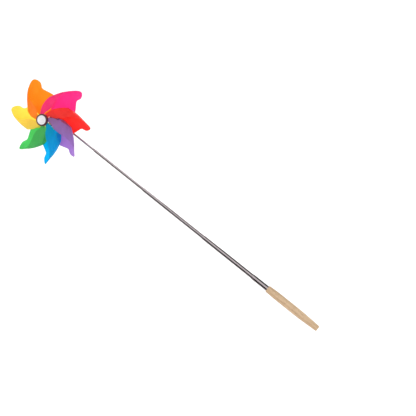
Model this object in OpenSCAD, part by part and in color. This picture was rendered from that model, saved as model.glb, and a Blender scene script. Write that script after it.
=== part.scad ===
// Hand-held pinwheel: seven curled plastic blades on a hub, at the end of a
// five-section telescopic rod with a turned wooden handle.
//
// Frame: the rod stands along +Z, its wooden handle resting on Z = 0.
// The axle of the wheel lies along Y and the wheel faces -Y.

/* [Handle] */
// Length of the wooden handle
handle_len = 81.3; // [70:0.1:110]
// Wood round the rod's socket where the hand holds it
grip_wood = 1.7; // [1.2:0.1:4]
// Wood round the rod's socket at the front end of the handle
front_wood = 1.1; // [0.9:0.1:3]
// Wood that the rear end of the handle is wider than the rod, on the radius
rear_wood = 0.3; // [0.2:0.1:1.5]
// Length of the taper at the rear of the handle
handle_rear_taper = 28; // [18:1:34]
// Length of the taper at the front of the handle
handle_front_taper = 15; // [8:1:20]
// Radius that breaks the sharp edges of both handle ends
handle_edge_r = 0.7; // [0.3:0.1:0.8]
// Wood left below the rod's socket
handle_floor = 6; // [4:0.5:12]

/* [Rod] */
// Outer diameter of the widest tube
tube_d = 7; // [5.8:0.1:9]
// Step in outer diameter from one tube to the next
tube_step = 1; // [0.8:0.05:1.2]
// Wall of each tube
tube_wall = 0.3; // [0.2:0.02:0.36]
// Bare length of tube 1 in front of the handle
bare_1 = 24.6; // [10:0.1:60]
// Length of tube 2 that stands out of tube 1
bare_2 = 82.8; // [40:0.1:120]
// Length of tube 3 that stands out of tube 2
bare_3 = 102.4; // [40:0.1:140]
// Length of tube 4 that stands out of tube 3
bare_4 = 86.2; // [40:0.1:120]
// Length of tube 5 from the mouth of tube 4 to the axle
bare_5 = 66.3; // [40:0.1:100]
// Length of tube 2 that is still inside tube 1
insert_2 = 22.1; // [10:0.1:40]
// Length of tube 3 that is still inside tube 2
insert_3 = 8.5; // [8:0.1:40]
// Length of tube 4 that is still inside tube 3
insert_4 = 28.7; // [10:0.1:60]
// Length of tube 5 that is still inside tube 4
insert_5 = 45.9; // [10:0.1:60]
// Length of the rolled-in mouth of a tube
mouth_len = 1.5; // [1:0.1:2.5]
// Length of the friction sleeve on the foot of a sliding tube
sleeve_len = 5.5; // [4:0.1:6]
// Running clearance of a tube in the mouth that guides it, on the radius
mouth_clear = 0.05; // [0.03:0.01:0.08]
// Running clearance of a friction sleeve in its tube, on the radius
sleeve_clear = 0.03; // [0.02:0.01:0.05]

/* [Axle] */
// Diameter of the axle pin
axle_d = 2; // [1.6:0.1:2.4]
// Running clearance of the hub on the axle, on the radius
axle_clear = 0.05; // [0.03:0.01:0.08]
// End play of the hub between its two washers
end_play = 0.15; // [0.1:0.05:0.3]
// Diameter of the fitting at the top of the rod
fitting_d = 6; // [5:0.2:7.4]
// Height of the fitting below the axle
fitting_below = 7; // [5:0.5:12]
// Height of the fitting above the axle, without its dome
fitting_above = 2; // [1.6:0.1:4]
// Metal between the end of tube 5 and the axle's bore
bore_floor = 1.2; // [0.8:0.1:2]
// Diameter of the washers on the axle
washer_d = 4.6; // [3.8:0.1:6]
// Thickness of the rear washer, which keeps the wheel off the rod
spacer_t = 2.4; // [1.5:0.1:4]
// Thickness of the front washer
washer_t = 0.4; // [0.3:0.1:0.6]
// Diameter of the head of the axle pin
pin_head_d = 4.2; // [3.4:0.1:5.6]
// Height of the head of the axle pin
pin_head_t = 0.8; // [0.6:0.1:1]
// Diameter of the push nut behind the rod
nut_d = 5; // [4:0.1:6]
// Thickness of the push nut
nut_t = 0.9; // [0.6:0.1:1.5]
// Length of the axle that shows behind the push nut
axle_tail = 1.2; // [0.6:0.1:3]

/* [Hub] */
// Outer diameter of the hub barrel
barrel_d = 5; // [4:0.1:6]
// Diameter of the white button
button_d = 12; // [10.8:0.2:16]
// Width of the dark ring that shows round the button
ring_w = 2; // [1.6:0.1:3]
// Thickness of the front hub
front_hub_t = 3.6; // [3:0.1:7]
// Thickness of the front hub's web, which grips the barrel
web_t = 1; // [0.8:0.1:1.2]
// Thickness of the rear hub
rear_hub_t = 1.4; // [1:0.1:2]
// Distance of the pegs' centres from the rim of the front hub
peg_inset = 2; // [1.6:0.1:2.4]
// Rim of the rear hub outside the pegs' centres
rear_rim = 2.5; // [2:0.1:4]
// Diameter of the pegs that carry the blades
peg_d = 1.6; // [1.2:0.1:2]
// Length of a peg
peg_len = 2.4; // [2:0.1:3]
// Clearance of a blade's hole round its peg, on the radius
peg_clear = 0.1; // [0.05:0.05:0.2]
// Room between the hubs and the nearest edge of a blade's tab
tab_gap = 0.12; // [0.1:0.02:0.4]
// Room between neighbouring tabs, on each side
tab_room = 0.3; // [0.2:0.05:0.6]
// Thickness of the button's rim
button_rim = 0.4; // [0.3:0.1:1]
// Height of the button's dome above its rim
button_dome = 0.9; // [0.6:0.1:2.5]
// Diameter of the button's spigot, and of the recess in the front hub
spigot_d = 9.4; // [7.8:0.2:10.6]
// Wall of the spigot
spigot_wall = 1; // [0.8:0.1:1.2]
// Room between the head of the axle pin and the button
head_room = 0.3; // [0.2:0.05:0.5]

/* [Blades] */
// Thickness of the plastic sheet
sheet_t = 0.35; // [0.25:0.05:0.45]
// Distance from the rod's axis to the blades' rear holes
rear_z = 11.5; // [9.5:0.1:15]
// Distance between a blade's rear hole and its front hole
curl_depth = 32; // [26:0.5:40]
// Distance from the axle to the crest of the curl
curl_reach = 29; // [24:0.5:36]
// Slope at which both arms leave the hub
arm_slope = 17; // [14:1:21]
// Direction of the arms, counter-clockwise from the finger
arm_turn = 53; // [46:1:60]
// Length of the blade along its crest, from the arms to the finger tip
finger_v = 49.5; // [41:0.5:60]
// Length of the blade along its crest, from the arms to the shoulder
shoulder_v = 29; // [24:0.5:34]
// Rise of the blade's hollow inner edge at the crest
hollow_v = 11.2; // [9:0.1:13]
// Share by which the curl opens towards the finger tip
flare = 0.22; // [0:0.01:0.27]
// Share by which the curl bulges halfway to the finger tip
bulge = 0.1; // [0:0.01:0.12]
// Direction of the first blade's finger, counter-clockwise from +X
first_finger = 55; // [0:1:360]

/* [Hidden] */
// A small length by which a cutting shape passes a face
over = 0.1;
// Facets of a full circle, of a peg and of the button's dome
$fn = 72;
peg_fn = 32;
dome_fn = 120;

// Mouths of tubes 1 to 4 and the height of the axle
mouth_z = [
  0,
  handle_len + bare_1,
  handle_len + bare_1 + bare_2,
  handle_len + bare_1 + bare_2 + bare_3,
  handle_len + bare_1 + bare_2 + bare_3 + bare_4
];
axle_z = mouth_z[4] + bare_5;
insert = [0, 0, insert_2, insert_3, insert_4, insert_5];
function tube_top(i) = i < 5 ? mouth_z[i] : axle_z - axle_d / 2 - bore_floor;
// Tube 1 stands on the floor of the handle's socket, each other tube in the one below it
function tube_foot(i) = i == 1 ? handle_floor : mouth_z[i - 1] - insert[i];
function tube_od(i) = tube_d - (i - 1) * tube_step;
function tube_id(i) = tube_od(i) - 2 * tube_wall;
handle_d = tube_d + 2 * grip_wood;
handle_front_d = tube_d + 2 * front_wood;
handle_rear_d = tube_d + 2 * rear_wood;

// How far each blade has swung round its own pegs, counter-clockwise
blade_lean = [10, -13, -12, -5, 3, 12, 8];
blade_n = len(blade_lean);
pitch_turn = 360 / blade_n;

// Sizes of the hubs and of the blades' tabs follow from the button and its ring
front_hub_d = button_d + 2 * ring_w;
peg_pitch = front_hub_d / 2 - peg_inset;
rear_hub_d = 2 * (peg_pitch + rear_rim);
tab_r = peg_pitch * sin(pitch_turn / 2) - tab_room;
// Distance from a blade's hole to the hub face behind it, along the axle
tab_stand = tab_r * sin(arm_slope) + sheet_t / 2 / cos(arm_slope) + tab_gap;

// Stations along the axle, measured forwards from the rod's axis
fitting_front = fitting_d / 2;
barrel_back = fitting_front + spacer_t + end_play / 2;
front_z = rear_z + curl_depth;
front_hub_back = front_z + tab_stand;
front_hub_face = front_hub_back + front_hub_t;
barrel_front = front_hub_back + web_t;
washer_back = barrel_front + end_play / 2;
pin_head_back = washer_back + washer_t;
rear_hub_face = rear_z - tab_stand;
rear_hub_back = rear_hub_face - rear_hub_t;
nut_front = -fitting_front;
tail_end = nut_front - nut_t - axle_tail;

// Profile of the curl: two straight arms joined by a round crest.
// crest_r follows from the reach, the depth and the slope of the arms.
half_depth = curl_depth / 2;
crest_r = (half_depth - (curl_reach - peg_pitch) * tan(arm_slope))
  / (cos(arm_slope) - (1 - sin(arm_slope)) * tan(arm_slope));
crest_p = curl_reach - crest_r;
arm_len = (crest_p + crest_r * sin(arm_slope) - peg_pitch) / cos(arm_slope);
crest_len = 2 * (90 - arm_slope) * PI / 180 * crest_r;
sheet_len = 2 * arm_len + crest_len;
mid_z = rear_z + half_depth;

// Distance from the axle at arc length u from the rear hole
function curl_p(u) =
  u < arm_len ? peg_pitch + u * cos(arm_slope)
  : u > sheet_len - arm_len ? peg_pitch + (sheet_len - u) * cos(arm_slope)
  : crest_p + crest_r * cos(arm_slope - 90 + (u - arm_len) / crest_r * 180 / PI);
// Distance in front of the rod at arc length u
function curl_z(u) =
  u < arm_len ? rear_z + u * sin(arm_slope)
  : u > sheet_len - arm_len ? front_z - (sheet_len - u) * sin(arm_slope)
  : mid_z + crest_r * sin(arm_slope - 90 + (u - arm_len) / crest_r * 180 / PI);
// Direction of the sheet's face at arc length u, as an angle in the p-z plane
function curl_face(u) =
  u < arm_len ? arm_slope - 90
  : u > sheet_len - arm_len ? 90 - arm_slope
  : arm_slope - 90 + (u - arm_len) / crest_r * 180 / PI;
// How much wider the curl stands at distance v along the crest
function curl_width(v) =
  let (w = max(0, min(v / finger_v, 1.1)))
  1 + flare * w + bulge * pow(sin(180 * w), 2);
// Point of the sheet: u along the curl, v along the crest, h off the face
function sheet_point(u, v, h) =
  let (
    f = curl_face(u),
    p = peg_pitch + (curl_p(u) - peg_pitch) * curl_width(v) + h * cos(f),
    z = curl_z(u) + h * sin(f)
  )
  [p * cos(arm_turn) + v * sin(arm_turn), p * sin(arm_turn) - v * cos(arm_turn), z];

// Lengths along the curl are counted in units, so the outline follows the sheet's length
sheet_units = 68.3;
su = sheet_len / sheet_units;
// Half the width at which the round end of a tab stops
tab_tip = 0.3 * tab_r;
// Ribs across the flat sheet, from hole to hole. Each is [u, v] on the hollow inner edge and
// [u, v] on the outer edge, which carries the shoulder and the finger. Near the tabs v is a
// share of the tab, elsewhere of the hollow, the shoulder or the finger.
ribs = [
  [[-tab_r, -tab_tip], [-tab_r, tab_tip]],
  [[-0.6 * tab_r, -0.8 * tab_r], [-0.6 * tab_r, 0.8 * tab_r]],
  [[0, -tab_r], [0, tab_r]],
  [[1.5 * su, -0.7 * tab_r], [2.8 * su, 1.2 * tab_r]],
  [[3 * su, -0.5 * tab_r], [4.2 * su, 2.6 * tab_r]],
  [[5 * su, -0.35 * tab_r], [0, 0.5 * shoulder_v]],
  [[8 * su, -0.17 * tab_r], [-5.5 * su, 0.78 * shoulder_v]],
  [[11 * su, 0.05 * hollow_v], [-5 * su, 1.02 * shoulder_v]],
  [[14 * su, 0.2 * hollow_v], [2 * su, 1.18 * shoulder_v]],
  [[17 * su, 0.41 * hollow_v], [9.5 * su, 1.28 * shoulder_v]],
  [[20 * su, 0.62 * hollow_v], [14.5 * su, 0.8 * finger_v]],
  [[23 * su, 0.8 * hollow_v], [17 * su, 0.93 * finger_v]],
  [[26 * su, 0.93 * hollow_v], [22 * su, finger_v]],
  [[29 * su, 0.98 * hollow_v], [27.5 * su, 0.99 * finger_v]],
  [[32 * su, hollow_v], [32 * su, 0.9 * finger_v]],
  [[35 * su, 0.96 * hollow_v], [36.5 * su, 0.75 * finger_v]],
  [[39 * su, 0.82 * hollow_v], [42 * su, 0.6 * finger_v]],
  [[45 * su, 0.5 * hollow_v], [49 * su, 0.46 * finger_v]],
  [[52 * su, 0.11 * hollow_v], [55.5 * su, 0.35 * finger_v]],
  [[57 * su, -0.26 * tab_r], [61 * su, 0.23 * finger_v]],
  [[62 * su, -0.78 * tab_r], [64 * su, 2.4 * tab_r]],
  [[sheet_len, -tab_r], [sheet_len, tab_r]],
  [[sheet_len + 0.6 * tab_r, -0.8 * tab_r], [sheet_len + 0.6 * tab_r, 0.8 * tab_r]],
  [[sheet_len + tab_r, -tab_tip], [sheet_len + tab_r, tab_tip]]
];
rib_n = len(ribs);
// Steps from one rib to the next, and from the inner to the outer edge
rib_steps = 2;
row_steps = 9;
// Smooth curve through the ribs' ends
function knot(side, i) =
  i < 0 ? 2 * ribs[0][side] - ribs[1][side]
  : i >= rib_n ? 2 * ribs[rib_n - 1][side] - ribs[rib_n - 2][side]
  : ribs[i][side];
function edge_at(side, i, t) =
  let (a = knot(side, i - 1), b = knot(side, i), c = knot(side, i + 1), d = knot(side, i + 2))
  0.5 * (2 * b + (c - a) * t + (2 * a - 5 * b + 4 * c - d) * t * t + (3 * b - a - 3 * c + d) * t * t * t);
cols = (rib_n - 1) * rib_steps + 1;
rows = row_steps + 1;
function edge_col(side, k) =
  let (i = min(floor(k / rib_steps), rib_n - 2))
  edge_at(side, i, k / rib_steps - i);
sheet_points = [
  for (h = [sheet_t / 2, -sheet_t / 2])
    for (k = [0:cols - 1])
      let (a = edge_col(0, k), b = edge_col(1, k))
        for (r = [0:rows - 1])
          let (q = a + (b - a) * r / row_steps)
            sheet_point(q[0], q[1], h)
];
// Index of a point: side 0 is the outside of the curl, side 1 the inside
function at(side, k, r) = (side * cols + k) * rows + r;
// Two triangles of a four-sided patch
function patch(a, b, c, d) = [[a, b, c], [a, c, d]];
face_patches = [
  for (k = [0:cols - 2])
    for (r = [0:rows - 2])
      each concat(
        patch(at(0, k, r), at(0, k, r + 1), at(0, k + 1, r + 1), at(0, k + 1, r)),
        patch(at(1, k, r), at(1, k + 1, r), at(1, k + 1, r + 1), at(1, k, r + 1))
      )
];
long_edge_patches = [
  for (k = [0:cols - 2])
    each concat(
      patch(at(0, k, 0), at(0, k + 1, 0), at(1, k + 1, 0), at(1, k, 0)),
      patch(at(0, k, rows - 1), at(1, k, rows - 1), at(1, k + 1, rows - 1), at(0, k + 1, rows - 1))
    )
];
tab_end_patches = [
  for (r = [0:rows - 2])
    each concat(
      patch(at(0, 0, r), at(1, 0, r), at(1, 0, r + 1), at(0, 0, r + 1)),
      patch(at(0, cols - 1, r), at(0, cols - 1, r + 1), at(1, cols - 1, r + 1), at(1, cols - 1, r))
    )
];
sheet_faces = concat(face_patches, long_edge_patches, tab_end_patches);

// Turns the wheel's own frame, with its axle along +Z, into the object's frame
module on_axle() {
  translate([0, 0, axle_z])
    rotate([90, 0, 0])
      children();
}

// A ring between two stations along the wheel's own axis
module ring(d, bore, from, to) {
  translate([0, 0, from])
    difference() {
      cylinder(d = d, h = to - from);
      translate([0, 0, -over])
        cylinder(d = bore, h = to - from + 2 * over);
    }
}

// Turned wooden handle with a blind socket for tube 1
module handle() {
  r = handle_d / 2;
  rf = handle_front_d / 2;
  rr = handle_rear_d / 2;
  e = handle_edge_r;
  color("burlywood")
    difference() {
      rotate_extrude()
        polygon(concat(
          [[0, 0], [rr - e, 0]],
          [for (a = [-75:15:0]) [rr - e + e * cos(a), e + e * sin(a)]],
          [[r, handle_rear_taper], [r, handle_len - handle_front_taper], [rf, handle_len - e]],
          [for (a = [15:15:90]) [rf - e + e * cos(a), handle_len - e + e * sin(a)]],
          [[0, handle_len]]
        ));
      translate([0, 0, handle_floor])
        cylinder(d = tube_d, h = handle_len);
    }
}

// One plated tube, with the mouth rolled in round the next tube
module tube(i) {
  foot = tube_foot(i);
  top = tube_top(i);
  ro = tube_od(i) / 2;
  ri = tube_id(i) / 2;
  rm = i < 5 ? tube_od(i + 1) / 2 + mouth_clear : ri;
  color("silver")
    rotate_extrude()
      polygon([
        [ri, foot],
        [ro, foot],
        [ro, top - mouth_len / 2],
        [i < 5 ? (ro + rm) / 2 : ro, top],
        [rm, top],
        [rm, top - mouth_len],
        [ri, top - mouth_len - (ri - rm)]
      ]);
}

// Brass friction sleeve round the foot of a sliding tube
module sleeve(i) {
  color("goldenrod")
    ring(tube_id(i - 1) - 2 * sleeve_clear, tube_od(i), tube_foot(i), tube_foot(i) + sleeve_len);
}

// Domed fitting pressed on the end of tube 5 and cross-drilled for the axle
module tip_fitting() {
  r = fitting_d / 2;
  color("silver")
    difference() {
      union() {
        translate([0, 0, axle_z - fitting_below])
          cylinder(r = r, h = fitting_below + fitting_above);
        intersection() {
          translate([0, 0, axle_z + fitting_above])
            sphere(r = r);
          translate([0, 0, axle_z + fitting_above])
            cylinder(r = r + over, h = r + over);
        }
      }
      translate([0, 0, axle_z - fitting_below - over])
        cylinder(d = tube_od(5), h = tube_top(5) - axle_z + fitting_below + over);
      on_axle()
        translate([0, 0, -r - over])
          cylinder(d = axle_d, h = 2 * r + 2 * over);
    }
}

// Headed steel pin on which the wheel turns
module axle_pin() {
  color("gainsboro")
    on_axle()
      union() {
        translate([0, 0, tail_end])
          cylinder(d = axle_d, h = pin_head_back - tail_end);
        translate([0, 0, pin_head_back])
          cylinder(d = pin_head_d, h = pin_head_t);
      }
}

// Push nut that holds the pin behind the rod
module push_nut() {
  color("dimgray")
    on_axle()
      ring(nut_d, axle_d, nut_front - nut_t, nut_front);
}

// Washer that keeps the wheel off the rod
module rear_washer() {
  color("white")
    on_axle()
      ring(washer_d, axle_d, fitting_front, fitting_front + spacer_t);
}

// Thin washer under the head of the pin
module front_washer() {
  color("white")
    on_axle()
      ring(washer_d, axle_d, washer_back, washer_back + washer_t);
}

// Barrel that joins the two hubs and runs on the pin
module hub_barrel() {
  color("maroon")
    on_axle()
      ring(barrel_d, axle_d + 2 * axle_clear, barrel_back, barrel_front);
}

// Pegs of one hub, from one station to another
module pegs(from, to) {
  for (i = [0:blade_n - 1])
    rotate([0, 0, first_finger - i * pitch_turn + arm_turn])
      translate([peg_pitch, 0, from])
        cylinder(d = peg_d, h = to - from, $fn = peg_fn);
}

// Rear hub with its pegs pointing forwards through the blades' rear holes
module rear_hub() {
  color("maroon")
    on_axle()
      union() {
        ring(rear_hub_d, barrel_d, rear_hub_back, rear_hub_face);
        pegs(rear_hub_face - over, rear_hub_face + peg_len);
      }
}

// Front hub, a thick dark ring with pegs pointing backwards
module front_hub() {
  color("maroon")
    on_axle()
      union() {
        difference() {
          translate([0, 0, front_hub_back])
            cylinder(d = front_hub_d, h = front_hub_t);
          translate([0, 0, front_hub_back - over])
            cylinder(d = barrel_d, h = front_hub_t);
          translate([0, 0, barrel_front])
            cylinder(d = spigot_d, h = front_hub_t);
        }
        pegs(front_hub_back - peg_len, front_hub_back + over);
      }
}

// White button with a low dome and a spigot that snaps into the front hub
module button_cap() {
  rb = button_d / 2;
  dome_r = (rb * rb + button_dome * button_dome) / (2 * button_dome);
  rim_z = front_hub_face + button_rim;
  spigot_back = pin_head_back + pin_head_t + head_room;
  color("white")
    on_axle()
      union() {
        translate([0, 0, front_hub_face])
          cylinder(d = button_d, h = button_rim);
        intersection() {
          translate([0, 0, rim_z + button_dome - dome_r])
            sphere(r = dome_r, $fn = dome_fn);
          translate([0, 0, rim_z])
            cylinder(d = button_d, h = button_dome + over);
        }
        ring(spigot_d, spigot_d - 2 * spigot_wall, spigot_back, front_hub_face);
      }
}

// One curled blade: a flat sheet rolled from its rear hole to its front hole
module blade(i) {
  peg_x = peg_pitch * cos(arm_turn);
  peg_y = peg_pitch * sin(arm_turn);
  on_axle()
    rotate([0, 0, first_finger - i * pitch_turn])
      translate([peg_x, peg_y, 0])
        rotate([0, 0, blade_lean[i]])
          translate([-peg_x, -peg_y, 0])
            difference() {
              polyhedron(points = sheet_points, faces = sheet_faces, convexity = 8);
              for (z = [rear_z, front_z])
                translate([peg_x, peg_y, z - tab_r])
                  cylinder(d = peg_d + 2 * peg_clear, h = 2 * tab_r, $fn = peg_fn);
            }
}

handle();
tube(1);  // tube_1
tube(2);  // tube_2
tube(3);  // tube_3
tube(4);  // tube_4
tube(5);  // tube_5
sleeve(2);  // sleeve_2
sleeve(3);  // sleeve_3
sleeve(4);  // sleeve_4
sleeve(5);  // sleeve_5
tip_fitting();
axle_pin();
push_nut();
rear_washer();
front_washer();
hub_barrel();
rear_hub();
front_hub();
button_cap();
color("darkorange") blade(0);  // blade_orange
color("deeppink") blade(1);  // blade_pink
color("red") blade(2);  // blade_red
color("mediumpurple") blade(3);  // blade_purple
color("deepskyblue") blade(4);  // blade_blue
color("limegreen") blade(5);  // blade_green
color("gold") blade(6);  // blade_yellow
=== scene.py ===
# %% [markdown]
# # A hand-held pinwheel
# Seven curled plastic blades turn on a hub at the end of a telescopic rod with a wooden handle.
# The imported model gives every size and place. This script gives each piece its finer form and finish.
# Pieces are surfaces: a function of two parameters, worked out on a whole grid of points at once.

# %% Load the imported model
import bmesh
import bpy
import numpy as np
from mathutils import Matrix, Vector


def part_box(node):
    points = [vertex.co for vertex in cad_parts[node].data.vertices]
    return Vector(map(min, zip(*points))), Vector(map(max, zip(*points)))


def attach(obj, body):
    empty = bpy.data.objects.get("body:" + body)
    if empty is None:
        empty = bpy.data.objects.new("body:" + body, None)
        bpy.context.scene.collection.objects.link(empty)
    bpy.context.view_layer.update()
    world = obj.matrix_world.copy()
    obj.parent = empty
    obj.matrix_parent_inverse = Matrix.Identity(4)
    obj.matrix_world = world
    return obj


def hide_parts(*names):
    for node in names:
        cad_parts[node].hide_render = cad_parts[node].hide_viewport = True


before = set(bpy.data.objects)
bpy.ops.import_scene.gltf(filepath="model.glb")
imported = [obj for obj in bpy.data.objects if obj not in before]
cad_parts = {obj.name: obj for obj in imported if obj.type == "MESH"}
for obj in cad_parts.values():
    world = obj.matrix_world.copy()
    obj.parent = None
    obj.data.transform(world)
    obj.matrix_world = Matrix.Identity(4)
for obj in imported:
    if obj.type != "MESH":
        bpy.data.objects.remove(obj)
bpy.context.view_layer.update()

MM = 0.001
TAU = 2 * np.pi

# %% [markdown]
# ## Where things are
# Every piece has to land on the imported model, so heights and widths are read from its boxes.
# They could be typed in again, but then a changed model would no longer fit its surfaces.
# The wheel has its own axes: z points out of its front along the axle, y points up the rod.

# %% Read the places
hub_low, hub_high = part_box("front_hub")
AXLE_HEIGHT = (hub_low.z + hub_high.z) / 2
PEG_INSET = 2.0 * MM
PEG_CIRCLE = (hub_high.x - hub_low.x) / 2 - PEG_INSET


def radius_of(node):
    """Half the width of a node across x."""
    low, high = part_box(node)
    return (high.x - low.x) / 2


def stations(node):
    """How far the back and the front of a wheel piece stand in front of the rod's axis."""
    low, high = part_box(node)
    return -high.y, -low.y


def on_axle(points):
    """Wheel axes to frame axes: (x, y, z) becomes (x, -z, axle height + y)."""
    return np.stack([points[..., 0], -points[..., 2], AXLE_HEIGHT + points[..., 1]], -1)


def as_is(points):
    """Rod pieces are already drawn along the frame's own z axis."""
    return points


print("axle at", round(AXLE_HEIGHT / MM, 1), "mm")
print("pegs on a circle of radius", round(PEG_CIRCLE / MM, 2), "mm")

# %% [markdown]
# ## Tools for making surfaces
# Rod, handle and hub are round. They could be cylinders with a Bevel modifier, but a profile
# carried round an axis, like work on a lathe, holds every step and groove in a short list.
# A soft curve replaces each sharp corner of it, because no moulded or turned edge is truly sharp.

# %% Surface tools
SHARP_FOLD = np.radians(38)
MATERIALS = {}


def grid_faces(rows, cols, wrap_rows=False, wrap_cols=False):
    """Four-sided faces between neighbours of a grid of points numbered row by row."""
    index = np.arange(rows * cols).reshape(rows, cols)
    if wrap_rows:
        index = np.vstack([index, index[:1]])
    if wrap_cols:
        index = np.hstack([index, index[:, :1]])
    corners = [index[:-1, :-1], index[:-1, 1:], index[1:, 1:], index[1:, :-1]]
    return np.stack(corners, -1).reshape(-1, 4)


def soften(corners, cuts, closed=False, steps=7):
    """Profile whose corner c, with neighbours at unit directions a and b, becomes the curve
    (1-s)^2 (c + k a) + 2 s (1-s) c + s^2 (c + k b), where k is that corner's cut."""
    c = np.asarray(corners, float)
    k = np.asarray(cuts, float).copy()
    if not closed:
        k[[0, -1]] = 0
    a, b = np.roll(c, 1, 0) - c, np.roll(c, -1, 0) - c
    a /= np.linalg.norm(a, axis=1, keepdims=True) + 1e-12
    b /= np.linalg.norm(b, axis=1, keepdims=True) + 1e-12
    s = np.linspace(0, 1, steps)[None, :, None]
    k, a, b, c = k[:, None, None], a[:, None], b[:, None], c[:, None]
    curve = (1 - s) ** 2 * (c + k * a) + 2 * s * (1 - s) * c + s ** 2 * (c + k * b)
    curve = curve.reshape(-1, 2)
    new = np.linalg.norm(curve - np.roll(curve, 1, 0), axis=1) > 1e-9
    new[0] = new[0] or not closed
    return curve[new]


def lathe(profile, turns=96):
    """Points (r cos a, r sin a, z) for every (r, z) of the profile and every angle a of one turn."""
    a = np.linspace(0, TAU, turns, endpoint=False)
    r, z = profile[:, :1], profile[:, 1:]
    return np.stack([r * np.cos(a), r * np.sin(a), z + 0 * a], -1)


def close_mesh(mesh, merge_distance=1e-7):
    """Coinciding points are merged, and then all faces are turned outwards."""
    work = bmesh.new()
    work.from_mesh(mesh)
    if merge_distance:
        bmesh.ops.remove_doubles(work, verts=work.verts, dist=merge_distance)
    bmesh.ops.recalc_face_normals(work, faces=work.faces)
    work.to_mesh(mesh)
    work.free()


def add_object(name, data):
    """An object for a mesh, light or camera, unmoved and unturned, in the scene."""
    made = bpy.data.objects.new(name, data)
    bpy.context.scene.collection.objects.link(made)
    return made


def closed_object(name, shells):
    """One object from shells, a list of (points, faces)."""
    starts = np.cumsum([0] + [p.reshape(-1, 3).shape[0] for p, f in shells])
    points = np.concatenate([p.reshape(-1, 3) for p, f in shells])
    faces = np.concatenate([f + start for (p, f), start in zip(shells, starts)])
    mesh = bpy.data.meshes.new(name)
    mesh.from_pydata(points.tolist(), [], faces.tolist())
    close_mesh(mesh)
    return add_object(name, mesh)


def new_piece(name, shells, body, slot, node):
    """A closed object that rides on a body, takes a finish from a slot and stands for a node."""
    finish_piece(closed_object(name, shells), body, slot, node)


def finish_piece(piece, body, slot, node):
    """Smooth shading with sharp folds kept, the slot's material, and its ride on the body."""
    piece.data.shade_smooth()
    piece.data.set_sharp_from_angle(angle=SHARP_FOLD)
    piece.data.materials.clear()
    piece.data.materials.append(MATERIALS[slot])
    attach(piece, body)
    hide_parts(node)


def turned(corners, cuts, closed=False, place=as_is, turns=96):
    """Shell of a turned shape, ready for new_piece. A closed profile gives a ring."""
    profile = soften(corners, cuts, closed)
    points = place(lathe(profile, turns))
    return points, grid_faces(*points.shape[:2], wrap_rows=closed, wrap_cols=True)


print("folds over", round(np.degrees(SHARP_FOLD)), "degrees stay sharp")

# %% [markdown]
# ## Tools for finishes
# A picture could be wrapped round each piece, but it would stretch and show its edges.
# So every finish is worked out from the place on the object, and a sheet's streaks from the place
# on the sheet. Each is a small graph: a position, a pattern, two close shades, and a shader with
# its gloss.

# %% Material tools
MARK_HEIGHT = 4e-6


def start_material(name):
    """A new node material and a helper that adds one node with its settings and inputs."""
    material = bpy.data.materials.new(name)
    material.use_nodes = True
    tree = material.node_tree
    tree.nodes.clear()

    def add(kind, inputs=None, **settings):
        made = tree.nodes.new(kind)
        for key, value in settings.items():
            setattr(made, key, value)
        for key, value in (inputs or {}).items():
            if isinstance(value, bpy.types.NodeSocket):
                tree.links.new(value, made.inputs[key])
            else:
                made.inputs[key].default_value = value
        return made

    return material, add


def place_pattern(add, stretch=(1, 1, 1), source="Object"):
    """Position on the object, stretched so that a pattern runs long or short on each axis."""
    where = add("ShaderNodeTexCoord").outputs[source]
    return add("ShaderNodeMapping", {"Vector": where, "Scale": stretch}).outputs["Vector"]


def noise(add, vector, scale, detail=3.0, roughness=0.5):
    """Soft random pattern between 0 and 1."""
    settings = {"Vector": vector, "Scale": scale, "Detail": detail, "Roughness": roughness}
    return add("ShaderNodeTexNoise", settings).outputs["Fac"]


def shades(add, pattern, dark, light, low=0.3, high=0.7):
    """Colour that goes from dark to light as the pattern goes from low to high."""
    ramp = add("ShaderNodeValToRGB", {"Fac": pattern})
    ramp.color_ramp.elements[0].position = low
    ramp.color_ramp.elements[0].color = (*dark, 1)
    ramp.color_ramp.elements[1].position = high
    ramp.color_ramp.elements[1].color = (*light, 1)
    return ramp.outputs["Color"]


def between(add, pattern, low, high):
    """The pattern's 0 to 1 carried to low to high."""
    settings = {"Value": pattern, "To Min": low, "To Max": high}
    return add("ShaderNodeMapRange", settings).outputs["Result"]


def bumps(add, pattern, distance, strength=0.4):
    """Surface tilt from a height pattern; distance is its height in metres."""
    settings = {"Height": pattern, "Distance": distance, "Strength": strength}
    return add("ShaderNodeBump", settings).outputs["Normal"]


def hard_finish(name, dark, light, gloss, metallic=0.0, scale=900, stretch=(1, 1, 1)):
    """Metal or moulded plastic: two close shades, a smooth-to-rough span and fine marks."""
    material, add = start_material(name)
    vector = place_pattern(add, stretch)
    pattern = noise(add, vector, scale)
    inputs = {
        "Base Color": shades(add, pattern, dark, light),
        "Roughness": between(add, noise(add, vector, scale / 3), *gloss),
        "Normal": bumps(add, pattern, MARK_HEIGHT),
        "Metallic": metallic,
    }
    shader = add("ShaderNodeBsdfPrincipled", inputs)
    add("ShaderNodeOutputMaterial", {"Surface": shader.outputs["BSDF"]})
    return material


print("fine marks are", round(MARK_HEIGHT * 1e6), "micrometres high")

# %% [markdown]
# ## The coloured sheet
# The blades are cut from clear-dyed plastic sheet. Glass-like refraction would bend the view
# through them, which so thin a sheet does not do. Instead some light falls on a gloss, some is
# scattered through, and some goes straight through and takes the dye's colour, so two layers
# look deeper than one. Fine streaks along the sheet come from its rolling.

# %% Coloured sheet
CLEAR_SHARE = 0.42
SCATTER_SHARE = 0.6
STREAK_HEIGHT = 2e-5


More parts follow.
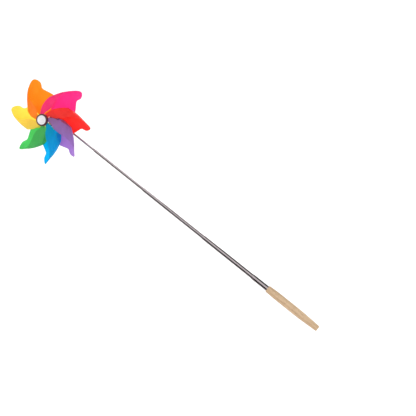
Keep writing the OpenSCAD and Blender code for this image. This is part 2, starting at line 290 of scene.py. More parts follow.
def sheet_finish(name, dye):
    """Glossy coat over a mix of plain, scattered and straight-through dyed light."""
    material, add = start_material(name)
    dye = np.array(dye)
    streaks = noise(add, place_pattern(add, (3, 60, 1), "UV"), 2.0)
    cloud = noise(add, place_pattern(add), 70)
    mixed = add("ShaderNodeMath", {0: streaks, 1: cloud}, operation="MULTIPLY").outputs["Value"]
    colour = shades(add, mixed, dye * 0.93, np.minimum(dye * 1.05 + 0.005, 1), 0.1, 0.45)
    relief = bumps(add, streaks, STREAK_HEIGHT, 0.25)
    gloss = between(add, cloud, 0.2, 0.34)
    coat_inputs = {
        "Base Color": colour,
        "Roughness": gloss,
        "Normal": relief,
        "Specular IOR Level": 0.25,
    }
    coat = add("ShaderNodeBsdfPrincipled", coat_inputs).outputs["BSDF"]
    glow = add("ShaderNodeBsdfTranslucent", {"Color": colour, "Normal": relief}).outputs["BSDF"]
    through = add("ShaderNodeBsdfTransparent", {"Color": colour}).outputs["BSDF"]
    scattered = add("ShaderNodeMixShader", {"Fac": SCATTER_SHARE, 1: coat, 2: glow}).outputs["Shader"]
    sheet = add("ShaderNodeMixShader", {"Fac": CLEAR_SHARE, 1: scattered, 2: through}).outputs["Shader"]
    add("ShaderNodeOutputMaterial", {"Surface": sheet})
    return material


DYES = {
    "orange": (1.0, 0.46, 0.045),
    "pink": (0.94, 0.12, 0.44),
    "red": (0.95, 0.12, 0.1),
    "purple": (0.56, 0.38, 0.72),
    "blue": (0.012, 0.6, 0.88),
    "green": (0.2, 0.71, 0.28),
    "yellow": (1.0, 0.84, 0.22),
}
for name, dye in DYES.items():
    MATERIALS["sheet_" + name] = sheet_finish("sheet_" + name, dye)
print("dyed sheets:", ", ".join(DYES))

# %% [markdown]
# ## Metal and moulded plastic
# Chrome plate is almost a mirror; faint lines run along the tubes from drawing them. One function
# makes all of these, because they differ only in shade, gloss and the size of their marks.
# Brass, steel and nylon show only at the axle. The hub is glossy maroon. The button is glossy white
# plastic whose colour is painted light grey as shade, with a faint pink tint that is a painted
# reflection.

# %% Metals and plastics
ALONG_ROD = (1, 1, 0.04)
HARD_FINISHES = {
    "chrome_fitting": ((0.55, 0.53, 0.54), (0.66, 0.64, 0.64), (0.12, 0.24), 1.0),
    "brass": ((0.6, 0.38, 0.12), (0.78, 0.55, 0.22), (0.2, 0.35), 1.0),
    "steel": ((0.4, 0.4, 0.41), (0.6, 0.6, 0.61), (0.25, 0.4), 1.0),
    "clear_nylon": ((0.74, 0.73, 0.68), (0.86, 0.85, 0.81), (0.3, 0.45)),
    "dark_plastic": ((0.04, 0.003, 0.01), (0.06, 0.006, 0.016), (0.3, 0.42)),
    # The button's white is painted down to grey as shade, and its faint pink tint is a painted
    # reflection.
    "white_plastic": ((0.56, 0.54, 0.55), (0.66, 0.64, 0.65), (0.2, 0.3)),
}
MATERIALS["chrome_tube"] = hard_finish(
    "chrome_tube", (0.34, 0.3, 0.31), (0.46, 0.41, 0.42), (0.08, 0.16), 1.0, 2500, ALONG_ROD)
for name, looks in HARD_FINISHES.items():
    MATERIALS[name] = hard_finish(name, *looks)
print("hard finishes:", ", ".join(["chrome_tube", *HARD_FINISHES]))

# %% [markdown]
# ## Beech
# The handle is bare beech. Its grain runs along the stick: long pale bands, short dark flecks that
# are the wood's rays, and fine pores. A ready-made wood pattern has rings but no rays, so three
# noises are used, stretched along z and much tighter across it, and multiplied together.

# %% Wood
PORE_DEPTH = 3e-5


def multiplied(add, share, colour_a, colour_b):
    """The first colour, darkened by a share of the second."""
    inputs = {"Factor": share, "A": colour_a, "B": colour_b}
    return add("ShaderNodeMix", inputs, data_type="RGBA", blend_type="MULTIPLY").outputs["Result"]


def beech_finish(name):
    """Bands times rays times pores, with a dull surface that is rougher in the pale bands."""
    material, add = start_material(name)
    bands = noise(add, place_pattern(add, (1, 1, 0.06)), 260, 4)
    fibres = noise(add, place_pattern(add, (1, 1, 0.02)), 1400, 3)
    rays = noise(add, place_pattern(add, (1, 1, 0.16)), 1500, 2, 0.7)
    ground = shades(add, bands, (0.45, 0.3, 0.17), (0.6, 0.43, 0.27), 0.35, 0.65)
    ray_colour = shades(add, rays, (0.30, 0.16, 0.09), (1, 1, 1), 0.33, 0.43)
    pore_colour = shades(add, fibres, (0.82, 0.78, 0.74), (1, 1, 1), 0.3, 0.6)
    speckled = multiplied(add, 0.55, ground, ray_colour)
    inputs = {
        "Base Color": multiplied(add, 0.7, speckled, pore_colour),
        "Roughness": between(add, bands, 0.5, 0.68),
        "Normal": bumps(add, fibres, PORE_DEPTH, 0.5),
    }
    shader = add("ShaderNodeBsdfPrincipled", inputs)
    add("ShaderNodeOutputMaterial", {"Surface": shader.outputs["BSDF"]})
    return material


MATERIALS["beech_wood"] = beech_finish("beech_wood")
print("finishes made:", len(MATERIALS))

# %% [markdown]
# ## The handle
# A beech stick turned to a slight taper at both ends, sawn square and sanded. The tube is pressed
# into a blind hole in its front end. A scaled cylinder would have straight, hard tapers; long soft
# corners in the profile give them the flow of a turned shape.

# %% Handle
handle_low, handle_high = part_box("handle")
tube_low, tube_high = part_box("tube_1")
HANDLE_R = radius_of("handle")
TUBE_R = radius_of("tube_1")
REAR_TAPER = 28 * MM
FRONT_TAPER = 15 * MM
REAR_END_R = TUBE_R + 0.3 * MM
FRONT_END_R = TUBE_R + 1.1 * MM
handle_corners = [
    (0, handle_low.z),
    (REAR_END_R, handle_low.z),
    (HANDLE_R, handle_low.z + REAR_TAPER),
    (HANDLE_R, handle_high.z - FRONT_TAPER),
    (FRONT_END_R, handle_high.z),
    (TUBE_R, handle_high.z),
    (TUBE_R, tube_low.z),
    (0, tube_low.z),
]
handle_cuts = np.array([0, 0.8, 9, 6, 0.9, 0.2, 0, 0]) * MM
handle_shell = turned(handle_corners, handle_cuts)
new_piece("turned_handle", [handle_shell], "handle_body", "beech_wood", "handle")
print("handle", round((handle_high.z - handle_low.z) / MM, 1), "mm long")

# %% [markdown]
# ## The telescopic rod
# Five plated tubes. The mouth of each is rolled inwards to guide the next, which leaves a small
# shoulder and a bright lip. A thin groove behind the lip is the mark of the rolling wheel.
# The wall could come from a Solidify modifier, but inside and outside differ at the mouth, so
# one closed profile goes up the outside, over the lip and down the inside.

# %% Rod
WALL = 0.3 * MM
MOUTH = 1.5 * MM
MOUTH_CLEARANCE = 0.05 * MM
GROOVE_DEPTH = 0.09 * MM
GROOVE_PLACE = 2.3 * MM
GROOVE_HALF = 0.3 * MM
TUBE_BODIES = {1: "handle_body", 2: "section_2", 3: "section_3", 4: "section_4", 5: "section_5"}


def last_tube_shell(low, high, outer):
    """Closed profile of the tube that no other tube slides in: a plain wall."""
    inner = outer - WALL
    corners = [(inner, low), (outer, low), (outer, high), (inner, high)]
    return turned(corners, np.array([0, 0.05, 0.1, 0]) * MM, closed=True)


def guide_tube_shell(low, high, outer, next_outer):
    """Closed profile of a tube: up the outside, over the rolled mouth and down the inside."""
    inner = outer - WALL
    lip = next_outer + MOUTH_CLEARANCE
    groove = high - GROOVE_PLACE
    corners = [
        (inner, low),
        (outer, low),
        (outer, groove - GROOVE_HALF),
        (outer - GROOVE_DEPTH, groove),
        (outer, groove + GROOVE_HALF),
        (outer, high - MOUTH / 2),
        (inner * 0.4 + outer * 0.6, high),
        (lip, high),
        (lip, high - MOUTH),
        (inner, high - MOUTH - (inner - lip)),
    ]
    cuts = np.array([0, 0.05, 0.15, 0.15, 0.15, 0.3, 0.12, 0.05, 0, 0]) * MM
    return turned(corners, cuts, closed=True)


for number, body in TUBE_BODIES.items():
    node = f"tube_{number}"
    low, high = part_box(node)
    if number == len(TUBE_BODIES):
        shell = last_tube_shell(low.z, high.z, radius_of(node))
    else:
        shell = guide_tube_shell(low.z, high.z, radius_of(node), radius_of(f"tube_{number + 1}"))
    new_piece(f"rod_section_{number}", [shell], body, "chrome_tube", node)
print("rod sections:", len(TUBE_BODIES))

# %% [markdown]
# ## Parts that the rod hides
# The friction sleeves sit inside the tubes. New surfaces could be made for them, but the packed
# shapes are already right and hardly seen, so they only get their brass.

# %% Friction sleeves
SLEEVES = [f"sleeve_{number}" for number in (2, 3, 4, 5)]
for name in SLEEVES:
    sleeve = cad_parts[name]
    sleeve.data.materials.clear()
    sleeve.data.materials.append(MATERIALS["brass"])
print("sleeves in brass:", len(SLEEVES))

# %% [markdown]
# ## The rod's tip and the axle
# A domed fitting is pressed on the last tube and drilled across. A headed pin goes through it and
# through the wheel; a toothed push nut grips its tail, and nylon washers keep the wheel running free.
# All but the nut's teeth are turned shapes. The dome is one very long soft corner of its profile.

# %% Tip fitting and axle
tip_low, tip_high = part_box("tip_fitting")
TIP_R = radius_of("tip_fitting")
TIP_BORE = radius_of("tube_5")
PIN_R = 1.0 * MM
PIN_HEAD = 0.8 * MM
COLLAR_STEP = 0.5 * MM
COLLAR_LOW = 1.2 * MM
COLLAR_HIGH = 1.6 * MM
tube_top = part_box("tube_5")[1].z
tip_corners = [
    (0, tube_top),
    (TIP_BORE, tube_top),
    (TIP_BORE, tip_low.z),
    (TIP_R - COLLAR_STEP, tip_low.z),
    (TIP_R - COLLAR_STEP, tip_low.z + COLLAR_LOW),
    (TIP_R, tip_low.z + COLLAR_HIGH),
    (TIP_R, tip_high.z),
    (0, tip_high.z),
]
tip_cuts = np.array([0, 0, 0, 0.25, 0.15, 0.3, 2.95, 0]) * MM
tip_shell = turned(tip_corners, tip_cuts)
new_piece("domed_tip", [tip_shell], "section_5", "chrome_fitting", "tip_fitting")

pin_back, pin_front = stations("axle_pin")
pin_corners = [
    (0, pin_back),
    (PIN_R, pin_back),
    (PIN_R, pin_front - PIN_HEAD),
    (radius_of("axle_pin"), pin_front - PIN_HEAD),
    (radius_of("axle_pin"), pin_front),
    (0, pin_front),
]
pin_cuts = np.array([0, 0.3, 0, 0.1, 0.45, 0]) * MM
pin_shell = turned(pin_corners, pin_cuts, place=on_axle, turns=64)
new_piece("axle_with_head", [pin_shell], "section_5", "steel", "axle_pin")


def ring_corners(inner, outer, back, front):
    """Corners of a plain ring."""
    return [(inner, back), (outer, back), (outer, front), (inner, front)]


washer_cuts = np.array([0.05, 0.12, 0.12, 0.05]) * MM
for node, name in {"rear_washer": "spacer_washer", "front_washer": "thin_washer"}.items():
    corners = ring_corners(PIN_R, radius_of(node), *stations(node))
    shell = turned(corners, washer_cuts, closed=True, place=on_axle, turns=64)
    new_piece(name, [shell], "section_5", "clear_nylon", node)
print("axle", round((pin_front - pin_back) / MM, 1), "mm long, with two washers")

# %% [markdown]
# The push nut is a thin coned disc. Its inner edge is cut into teeth that bend towards the tail,
# so it slides on and does not come back. Teeth could be cut out one by one; here the inner radius
# simply rises and falls round the turn.

# %% Push nut
TEETH = 6
TOOTH_GAP = 0.55 * MM
NUT_CORNERS = [(0, 0), (0.35, 0.75), (0.8, 1), (1, 1), (1, 0.8), (0.8, 0.72), (0.4, 0.5), (0.06, 0)]
NUT_CUTS = [0.02, 0.1, 0.1, 0.05, 0.05, 0.1, 0.1, 0.02]


def push_nut_shell(back, front, outer):
    """A ring whose inner radius is the pin's at a tooth and wider by the gap between teeth. The tooth
    is 0.5 + 1.6 cos(teeth times angle), kept between 0 and 1. The profile gives shares of the
    width and of the height."""
    angle = np.linspace(0, TAU, 144, endpoint=False)[None, :]
    profile = soften(NUT_CORNERS, NUT_CUTS, closed=True)
    width, height = profile[:, :1], profile[:, 1:]
    tooth = np.clip(0.5 + 1.6 * np.cos(TEETH * angle), 0, 1)
    inner = PIN_R + (1 - tooth) * TOOTH_GAP
    radius = inner + width * (outer - inner)
    z = back + height * (front - back) + 0 * angle
    points = on_axle(np.stack([radius * np.cos(angle), radius * np.sin(angle), z], -1))
    return points, grid_faces(*points.shape[:2], wrap_rows=True, wrap_cols=True)


nut_shell = push_nut_shell(*stations("push_nut"), radius_of("push_nut"))
new_piece("toothed_push_nut", [nut_shell], "section_5", "steel", "push_nut")
print("push nut with", TEETH, "teeth")

# %% [markdown]
# ## The hub
# A barrel runs on the pin and joins two discs. Each disc has seven pegs with small mushroom heads,
# which hold the blades' ends and let them swing a little. The front disc is the dark ring that shows
# round the button. One peg is turned and then set down seven times with its disc, as one moulding.

# %% Barrel
BLADE_NAMES = list(DYES)
BLADES = len(BLADE_NAMES)
STEP = TAU / BLADES
FIRST_FINGER = np.radians(55)
ARM_TURN = np.radians(53)
BORE_R = PIN_R + 0.05 * MM
barrel_back, barrel_front = stations("hub_barrel")
BARREL_R = radius_of("hub_barrel")
FRONT_COLLAR = 3.2 * MM
REAR_COLLAR = 5.2 * MM
WAIST_SLOPE = 1 * MM
waist = BARREL_R - 0.25 * MM
barrel_corners = [
    (BORE_R, barrel_back),
    (BARREL_R, barrel_back),
    (BARREL_R, barrel_back + REAR_COLLAR),
    (waist, barrel_back + REAR_COLLAR + WAIST_SLOPE),
    (waist, barrel_front - FRONT_COLLAR - WAIST_SLOPE),
    (BARREL_R, barrel_front - FRONT_COLLAR),
    (BARREL_R, barrel_front),
    (BORE_R, barrel_front),
]
barrel_cuts = np.array([0.1, 0.25, 0.4, 0.4, 0.4, 0.4, 0.1, 0.1]) * MM
barrel = turned(barrel_corners, barrel_cuts, closed=True, place=on_axle, turns=64)
new_piece("running_barrel", [barrel], "wheel", "dark_plastic", "hub_barrel")
print("barrel", round((barrel_front - barrel_back) / MM, 1), "mm long")

# %% Discs with their pegs
PEG_R = 0.8 * MM
PEG_LENGTH = 2.4 * MM
PEG_HEAD_R = 1.12 * MM
PEG_ROOT = 0.2 * MM
PEG_NECK = 0.55 * MM
PEG_BRIM = 0.4 * MM


def peg_shells(face, tip):
    """Seven pegs from just under a hub's face to their heads, on the pegs' circle."""
    side = np.sign(tip - face)
    root = face - side * PEG_ROOT
    neck = tip - side * PEG_NECK
    brim = tip - side * PEG_BRIM
    corners = [(0, root), (PEG_R, root), (PEG_R, neck), (PEG_HEAD_R, brim), (PEG_HEAD_R, tip), (0, tip)]
    cuts = np.array([0, 0, 0.05, 0.06, 0.35, 0]) * MM
    peg = lathe(soften(corners, cuts), 32)
    angles = FIRST_FINGER + ARM_TURN - STEP * np.arange(BLADES)
    centres = np.stack([PEG_CIRCLE * np.cos(angles), PEG_CIRCLE * np.sin(angles), 0 * angles], -1)
    faces = grid_faces(*peg.shape[:2], wrap_cols=True)
    return [(on_axle(peg + centre), faces) for centre in centres]


rear_back, rear_tip = stations("rear_hub")
rear_face = rear_tip - PEG_LENGTH
REAR_HUB_R = radius_of("rear_hub")
DISH_DEPTH = 0.35 * MM
DISH_SLOPE = 0.6 * MM
BOSS = 1.2 * MM
RIM = 1.0 * MM
rear_corners = [
    (BARREL_R, rear_back),
    (BARREL_R + BOSS, rear_back),
    (BARREL_R + BOSS + DISH_SLOPE, rear_back + DISH_DEPTH),
    (REAR_HUB_R - RIM - DISH_SLOPE, rear_back + DISH_DEPTH),
    (REAR_HUB_R - RIM, rear_back),
    (REAR_HUB_R, rear_back),
    (REAR_HUB_R, rear_face),
    (BARREL_R, rear_face),
]
rear_cuts = np.array([0, 0.15, 0.15, 0.15, 0.15, 0.4, 0.4, 0]) * MM
rear_disc = turned(rear_corners, rear_cuts, closed=True, place=on_axle)
rear_shells = [rear_disc] + peg_shells(rear_face, rear_tip)
new_piece("rear_disc", rear_shells, "wheel", "dark_plastic", "rear_hub")

front_tip, front_face = stations("front_hub")
front_back = front_tip + PEG_LENGTH
FRONT_HUB_R = radius_of("front_hub")
SPIGOT_R = 4.7 * MM
front_corners = [
    (BARREL_R, front_back),
    (FRONT_HUB_R, front_back),
    (FRONT_HUB_R, front_face),
    (SPIGOT_R, front_face),
    (SPIGOT_R, barrel_front),
    (BARREL_R, barrel_front),
]
front_cuts = np.array([0, 0.5, 0.8, 0.1, 0, 0]) * MM
front_disc = turned(front_corners, front_cuts, closed=True, place=on_axle, turns=128)
front_shells = [front_disc] + peg_shells(front_back, front_tip)
new_piece("dark_ring", front_shells, "wheel", "dark_plastic", "front_hub")
print("pegs on each disc:", BLADES)

# %% [markdown]
# The button is a shallow dome on a thin rim with a short spigot that snaps into the ring.
# A slice of a ball would need a cut; the dome's height falls as the square of the radius instead,
# which is nearly the same curve and runs straight into the rim's profile.

# %% Button
button_back, button_front = stations("button_cap")
BUTTON_R = radius_of("button_cap")
SPIGOT_WALL = 1.0 * MM
BUTTON_RIM = 0.4 * MM
DOME_EDGE = 0.15 * MM
dome_share = np.linspace(0, 1, 24)
dome_r = (BUTTON_R - DOME_EDGE) * dome_share
dome_z = button_front - (button_front - front_face - BUTTON_RIM) * dome_share ** 2
rim_corners = [
    (dome_r[-1], dome_z[-1]),
    (BUTTON_R, front_face + BUTTON_RIM * 0.7),
    (BUTTON_R, front_face),
    (SPIGOT_R, front_face),
    (SPIGOT_R, button_back),
    (SPIGOT_R - SPIGOT_WALL, button_back),
    (SPIGOT_R - SPIGOT_WALL, front_face),
    (0, front_face),
]
rim_cuts = np.array([0, 0.12, 0.1, 0, 0.2, 0.2, 0, 0]) * MM
button_profile = np.vstack([np.stack([dome_r, dome_z], -1)[:-1], soften(rim_corners, rim_cuts)])
button_points = on_axle(lathe(button_profile, 128))
button_shell = (button_points, grid_faces(*button_points.shape[:2], wrap_cols=True))
# The button's finish is white plastic painted grey as shade, with a faint painted pink reflection.
new_piece("white_button", [button_shell], "wheel", "white_plastic", "button_cap")
print("button", round(2 * BUTTON_R / MM, 1), "mm across")

# %% [markdown]
# ## The shape of a blade
# A blade is a flat sheet rolled over from its rear hole to its front hole. A Bend modifier could
# roll it, but two arms and a crest of set sizes are easier to hold with a formula: seen along the
# crest the roll is two straight arms joined by a round, and it opens a little towards the finger.
# u runs round the roll from hole to hole, v runs along the crest towards the finger.

# %% The curl
SHEET = 0.35 * MM
REAR_HOLE = 11.5 * MM
DEPTH = 32 * MM
REACH = 29 * MM
SLOPE = np.radians(17)
FINGER = 49.5 * MM
SHOULDER = 29 * MM
HOLLOW = 11.2 * MM
FLARE = 0.22
BULGE = 0.1
TAB_ROOM = 0.3 * MM
TAB = PEG_CIRCLE * np.sin(STEP / 2) - TAB_ROOM
rise_to_reach = (REACH - PEG_CIRCLE) * np.tan(SLOPE)
CREST_R = (DEPTH / 2 - rise_to_reach) / (np.cos(SLOPE) - (1 - np.sin(SLOPE)) * np.tan(SLOPE))
CREST_P = REACH - CREST_R
ARM = (CREST_P + CREST_R * np.sin(SLOPE) - PEG_CIRCLE) / np.cos(SLOPE)
LENGTH = 2 * ARM + 2 * (np.pi / 2 - SLOPE) * CREST_R
SHEET_UNITS = 68.3
UNIT = LENGTH / SHEET_UNITS


def curl(u):
    """Distance p from the axle, distance z in front of the rod and direction f of the sheet's face:
    straight while u < ARM and while u > LENGTH - ARM, and round the crest in between."""
    back_arm, front_arm = u < ARM, u > LENGTH - ARM
    f = np.clip(SLOPE - np.pi / 2 + (u - ARM) / CREST_R, SLOPE - np.pi / 2, np.pi / 2 - SLOPE)
    arm_u = np.where(back_arm, u, LENGTH - u)
    on_arm = back_arm | front_arm
    p = np.where(on_arm, PEG_CIRCLE + arm_u * np.cos(SLOPE), CREST_P + CREST_R * np.cos(f))
    rise = arm_u * np.sin(SLOPE)
    arm_z = np.where(back_arm, REAR_HOLE + rise, REAR_HOLE + DEPTH - rise)
    z = np.where(on_arm, arm_z, REAR_HOLE + DEPTH / 2 + CREST_R * np.sin(f))
    return p, z, f


def sheet_point(u, v, h):
    """Point at u, v of the sheet, lifted by h off its middle along the face direction. With w the
    share v / FINGER, the curl is 1 + FLARE w + BULGE sin(pi w)^2 times as wide."""
    p, z, f = curl(u)
    w = np.clip(v / FINGER, 0, 1.1)
    opening = 1 + FLARE * w + BULGE * np.sin(np.pi * w) ** 2
    p = PEG_CIRCLE + (p - PEG_CIRCLE) * opening + h * np.cos(f)
    c, s = np.cos(ARM_TURN), np.sin(ARM_TURN)
    return np.stack([p * c + v * s, p * s - v * c, z + h * np.sin(f)], -1)


print("sheet from hole to hole:", round(LENGTH / MM, 1), "mm")

# %% [markdown]
# The outline is drawn as ribs across the flat sheet, as a sailmaker lofts a panel: each row gives
# u and v on the hollow inner edge, then u and v on the outer edge with its shoulder and finger.
# Two traced curves would do as well, but ribs also say which points face each other, so the grid
# of the sheet follows. A smooth curve runs through the ribs' ends on both sides. Places along the
# roll count in UNITs, of which the sheet has SHEET_UNITS from hole to hole.

# %% Outline of the blade
RIBS = np.array([
    [-TAB, -0.3 * TAB, -TAB, 0.3 * TAB],
    [-0.6 * TAB, -0.8 * TAB, -0.6 * TAB, 0.8 * TAB],
    [0, -TAB, 0, TAB],
    [1.5 * UNIT, -0.7 * TAB, 2.8 * UNIT, 1.2 * TAB],
    [3 * UNIT, -0.5 * TAB, 4.2 * UNIT, 2.6 * TAB],
    [5 * UNIT, -0.35 * TAB, 0, 0.5 * SHOULDER],
    [8 * UNIT, -0.17 * TAB, -5.5 * UNIT, 0.78 * SHOULDER],
    [11 * UNIT, 0.05 * HOLLOW, -5 * UNIT, 1.02 * SHOULDER],
    [14 * UNIT, 0.2 * HOLLOW, 2 * UNIT, 1.18 * SHOULDER],
    [17 * UNIT, 0.41 * HOLLOW, 9.5 * UNIT, 1.28 * SHOULDER],
    [20 * UNIT, 0.62 * HOLLOW, 14.5 * UNIT, 0.8 * FINGER],
    [23 * UNIT, 0.8 * HOLLOW, 17 * UNIT, 0.93 * FINGER],
    [26 * UNIT, 0.93 * HOLLOW, 22 * UNIT, FINGER],
    [29 * UNIT, 0.98 * HOLLOW, 27.5 * UNIT, 0.99 * FINGER],
    [32 * UNIT, HOLLOW, 32 * UNIT, 0.9 * FINGER],
    [35 * UNIT, 0.96 * HOLLOW, 36.5 * UNIT, 0.75 * FINGER],
    [39 * UNIT, 0.82 * HOLLOW, 42 * UNIT, 0.6 * FINGER],
    [45 * UNIT, 0.5 * HOLLOW, 49 * UNIT, 0.46 * FINGER],
    [52 * UNIT, 0.11 * HOLLOW, 55.5 * UNIT, 0.35 * FINGER],
    [57 * UNIT, -0.26 * TAB, 61 * UNIT, 0.23 * FINGER],
    [62 * UNIT, -0.78 * TAB, 64 * UNIT, 2.4 * TAB],
    [LENGTH, -TAB, LENGTH, TAB],
    [LENGTH + 0.6 * TAB, -0.8 * TAB, LENGTH + 0.6 * TAB, 0.8 * TAB],
    [LENGTH + TAB, -0.3 * TAB, LENGTH + TAB, 0.3 * TAB],
])


def along_ribs(steps):
    """Catmull-Rom curve through the ribs: at share t of a gap between knots b and c, with a before
    and d after, half of 2b + (c-a)t + (2a-5b+4c-d)t^2 + (3b-a-3c+d)t^3."""
    ends = 2 * RIBS[[0, -1]] - RIBS[[1, -2]]
    knots = np.vstack([ends[:1], RIBS, ends[1:]])
    a, b, c, d = (knots[i:len(knots) - 3 + i, None] for i in range(4))
    t = np.linspace(0, 1, steps, endpoint=False)[None, :, None]
    curve = 0.5 * (2 * b + (c - a) * t + (2 * a - 5 * b + 4 * c - d) * t ** 2
                   + (3 * b - a - 3 * c + d) * t ** 3)
    return np.vstack([curve.reshape(-1, 4), RIBS[-1:]])


def rounded_sections(edges, across, bend_steps=5):
    """Loops round the sheet's section at every rib, and each loop point's share of the way across.
    The two long edges are half rounds: at bend b, SHEET / 2 (1 - cos b) in from the edge and
    SHEET / 2 sin b off the middle."""
    inner, outer = edges[:, None, :2], edges[:, None, 2:]
    width = np.linalg.norm(outer - inner, axis=2)
    bend = np.linspace(0, np.pi / 2, bend_steps)[:-1]
    inset = SHEET / 2 * (1 - np.cos(bend))
    face = SHEET / 2 + (width - SHEET) * np.linspace(0, 1, across)
    distance = np.hstack([0 * width + inset, face, width - inset[::-1]])
    lift = SHEET / 2 * np.concatenate([np.sin(bend), np.ones(across), np.sin(bend)[::-1]])
    share = distance / width
    flat = inner + (outer - inner) * share[..., None]
    top = sheet_point(flat[..., 0], flat[..., 1], lift)
    under = sheet_point(flat[..., 0], flat[..., 1], -lift)
    shares = np.concatenate([share, share[:, -2:0:-1]], 1)
    return np.concatenate([top, under[:, -2:0:-1]], 1), shares


loops, shares = rounded_sections(along_ribs(8), across=40)
sections, around = shares.shape
print("points round the blade's section:", around, "sections:", sections)

# %% [markdown]
# ## From ribs to seven blades
# The section's loop is joined from rib to rib and closed at both tabs. Holes could be left out of
# the grid, but a Boolean with a pair of round pins keeps the grid plain and the holes truly round.
# All blades are the same sheet, so one pattern is made and then turned into its seven places,
# each swung a few degrees on its own pegs as loose blades are.

# %% Pattern of the blade
HOLE_R = PEG_R + 0.1 * MM
PIN_FACETS = 40


def blade_faces():
    """Walls between neighbouring loops, and a cap over each end of four-sided faces that join the
    loop's two sides, with a triangle at each corner (its last two corners are the same point)."""
    side = (around + 2) // 2
    near = np.arange(1, side - 2)
    cap = np.stack([near, near + 1, around - near - 1, around - near], -1)
    corner_caps = np.array([[0, 1, around - 1, around - 1], [side - 2, side - 1, side, side]])
    cap = np.vstack([cap, corner_caps])
    walls = grid_faces(sections, around, wrap_cols=True)
    return np.vstack([walls, cap, cap + (sections - 1) * around])


def blade_mesh(name, points, faces):
    """Closed sheet with a UV map: along the roll, and across the sheet."""
    mesh = bpy.data.meshes.new(name)
    polygons = [list(dict.fromkeys(face)) for face in faces.tolist()]
    mesh.from_pydata(points.reshape(-1, 3).tolist(), [], polygons)
    along = np.linspace(0, 1, sections)[:, None] + 0 * shares
    places = np.stack([along, shares], -1).reshape(-1, 2)
    corner_vertex = np.zeros(len(mesh.loops), int)
    mesh.loops.foreach_get("vertex_index", corner_vertex)
    mesh.uv_layers.new(name="sheet").data.foreach_set("uv", places[corner_vertex].ravel())
    close_mesh(mesh, merge_distance=0)
    return mesh


def hole_pins(centre):
    """A round pin through each of the two tabs."""
    pins = []
    for height in (REAR_HOLE, REAR_HOLE + DEPTH):
        pin = lathe(np.array([(0, -TAB), (HOLE_R, -TAB), (HOLE_R, TAB), (0, TAB)]), PIN_FACETS)
        pins.append((pin + centre + [0, 0, height], grid_faces(*pin.shape[:2], wrap_cols=True)))
    return pins


def drilled(mesh, cutter_shells):
    """The mesh with the cutters' shapes taken out of it."""
    plain = add_object("plain", mesh)
    cutter = closed_object("cutter", cutter_shells)
    cut = plain.modifiers.new("holes", "BOOLEAN")
    cut.object = cutter
    cut.operation = "DIFFERENCE"
    cut.solver = "EXACT"
    graph = bpy.context.evaluated_depsgraph_get()
    made = bpy.data.meshes.new_from_object(plain.evaluated_get(graph))
    bpy.data.objects.remove(plain)
    bpy.data.objects.remove(cutter)
    return made


peg_place = PEG_CIRCLE * np.array([np.cos(ARM_TURN), np.sin(ARM_TURN), 0])
pattern = drilled(blade_mesh("blade_pattern", loops, blade_faces()), hole_pins(peg_place))
flat_points = np.zeros(len(pattern.vertices) * 3)
pattern.vertices.foreach_get("co", flat_points)
pattern_points = flat_points.reshape(-1, 3)
print("pattern with", len(pattern.polygons), "faces")

# %% Seven blades
LEANS = np.radians([10, -13, -12, -5, 3, 12, 8])


def turn_about_z(points, angle, centre=(0, 0, 0)):
    """Points turned by an angle about an upright line through the centre."""
    c, s = np.cos(angle), np.sin(angle)
    return (points - centre) @ np.array([[c, s, 0], [-s, c, 0], [0, 0, 1]]) + centre


for number, name in enumerate(BLADE_NAMES):
    leaned = turn_about_z(pattern_points, LEANS[number], peg_place)
    turned_points = turn_about_z(leaned, FIRST_FINGER - number * STEP)
    mesh = pattern.copy()
    mesh.vertices.foreach_set("co", on_axle(turned_points).ravel())
    mesh.update()
    blade = add_object(f"curled_blade_{name}", mesh)
    finish_piece(blade, "wheel", f"sheet_{name}", f"blade_{name}")
print("blades:", ", ".join(BLADE_NAMES))

# %% [markdown]
# ## Floor and light
# A flat floor would end in a line behind the object. This pale one is a wide dish whose rim curves
# up as the fourth power of the radius, so no edge shows. Clear plastic looks best lit from all
# sides, so the room glows softly and two large lights stand in front and behind.

# %% Floor
FLOOR_Z = -1.0
FLOOR_R = 5.0
RIM_HEIGHT = 7.0
floor_share = np.linspace(0, 1, 40)
floor_profile = np.stack([FLOOR_R * floor_share, FLOOR_Z + RIM_HEIGHT * floor_share ** 4], -1)
floor_points = lathe(floor_profile, 96)
floor_faces = grid_faces(*floor_points.shape[:2], wrap_cols=True)
floor_mesh = bpy.data.meshes.new("pale_floor")
floor_mesh.from_pydata(floor_points.reshape(-1, 3).tolist(), [], floor_faces.tolist())
floor_mesh.shade_smooth()
floor = add_object("pale_floor", floor_mesh)
pale, add = start_material("pale_floor")
grain = noise(add, place_pattern(add), 40)
paint = add("ShaderNodeBsdfPrincipled", {
    "Base Color": shades(add, grain, (0.78, 0.78, 0.78), (0.82, 0.82, 0.82)),
    "Roughness": 0.9,
    "Emission Color": (1, 1, 1, 1),
    "Emission Strength": 0.4,
})
add("ShaderNodeOutputMaterial", {"Surface": paint.outputs["BSDF"]})
floor_mesh.materials.append(pale)
print("floor", 2 * FLOOR_R, "m across")

# %% Lights
world = bpy.data.worlds.new("soft_room")
bpy.context.scene.world = world
world.use_nodes = True
world.node_tree.nodes["Background"].inputs["Color"].default_value = (1, 1, 1, 1)
world.node_tree.nodes["Background"].inputs["Strength"].default_value = 0.5
CENTRE = np.array([0, 0, AXLE_HEIGHT])


def soft_light(name, offset, size, power):
    """Square soft light that faces the wheel from an offset."""
    lamp = bpy.data.lights.new(name, "AREA")
    lamp.size = size
    lamp.energy = power
    holder = add_object(name, lamp)
    holder.location = CENTRE + offset
    holder.rotation_mode = "QUATERNION"
    holder.rotation_quaternion = Vector(offset).to_track_quat("Z", "Y")


soft_light("key_light", np.array([-0.7, -1.2, 0.9]), 0.9, 8)
soft_light("back_light", np.array([0.6, 1.4, 0.5]), 1.2, 16)
print("lights: key and back")

# %% [markdown]
# Chrome shows what stands round it, and in a white room it has no shape. Darker chrome would still
# look flat, so two dark cards stand beside the rod. They show only in reflections, so they darken
# nothing else. The side card is low, so only the lower sections get a second dark line.

# %% Dark cards
CARD_REACH = 1.0


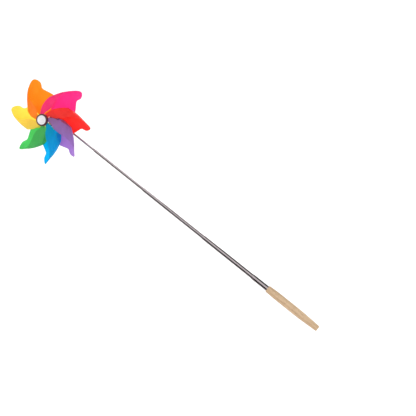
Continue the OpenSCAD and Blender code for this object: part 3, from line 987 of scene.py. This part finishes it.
def dark_card(name, bearing, width, low, high):
    """Upright dark card at a bearing round the rod, counted from the wheel's front, facing the rod."""
    a = np.radians(bearing)
    out = CARD_REACH * np.array([np.sin(a), -np.cos(a), 0])
    along = np.array([np.cos(a), np.sin(a), 0]) * width / 2
    foot, top = np.array([0, 0, low]), np.array([0, 0, high])
    mesh = bpy.data.meshes.new(name)
    corners = [out - along + foot, out + along + foot, out + along + top, out - along + top]
    mesh.from_pydata([tuple(c) for c in corners], [], [(0, 1, 2, 3)])
    card = add_object(name, mesh)
    card.visible_camera = False
    card.visible_diffuse = False
    card.visible_transmission = False
    card.visible_shadow = False
    mesh.materials.append(card_paint)


card_paint = hard_finish("card_paint", (0.01, 0.01, 0.01), (0.02, 0.02, 0.02), (0.8, 0.9), scale=20)
dark_card("front_card", -42, 1.5, -0.1, 1.0)
dark_card("side_card", 106, 1.6, -0.3, 0.5)
print("cards: front and side")

# %% [markdown]
# ## Camera
# The camera stands a little over a metre from the rod, in front, to its right and as low as the
# handle, and looks up. It is rolled, so the rod runs down to the right across the picture. Its
# three directions are worked out and put into its matrix, which is plainer than a chain of turns.

# %% Camera
AZIMUTH, ELEVATION, ROLL = np.radians([13, -9.5, 51.64])
DISTANCE = 1.1
VIEW_WIDTH = 0.5408
SENSOR = 36
AIM = np.array([34.7, 0, 205.9]) * MM
out = np.array([np.sin(AZIMUTH), -np.cos(AZIMUTH), 0])
back = out * np.cos(ELEVATION) + np.array([0, 0, np.sin(ELEVATION)])
level = np.array([np.cos(AZIMUTH), np.sin(AZIMUTH), 0])
upright = np.cross(back, level)
right = level * np.cos(ROLL) - upright * np.sin(ROLL)
up = level * np.sin(ROLL) + upright * np.cos(ROLL)
lens = bpy.data.cameras.new("camera")
lens.sensor_width = SENSOR
lens.lens = SENSOR * DISTANCE / VIEW_WIDTH
lens.clip_end = 50
camera = add_object("camera", lens)
placement = np.eye(4)
placement[:3, :3] = np.stack([right, up, back], -1)
placement[:3, 3] = AIM + back * DISTANCE
camera.matrix_world = Matrix(placement.tolist())
bpy.context.scene.camera = camera
bpy.context.scene.view_settings.view_transform = "Standard"
print("lens", round(lens.lens, 1), "mm")
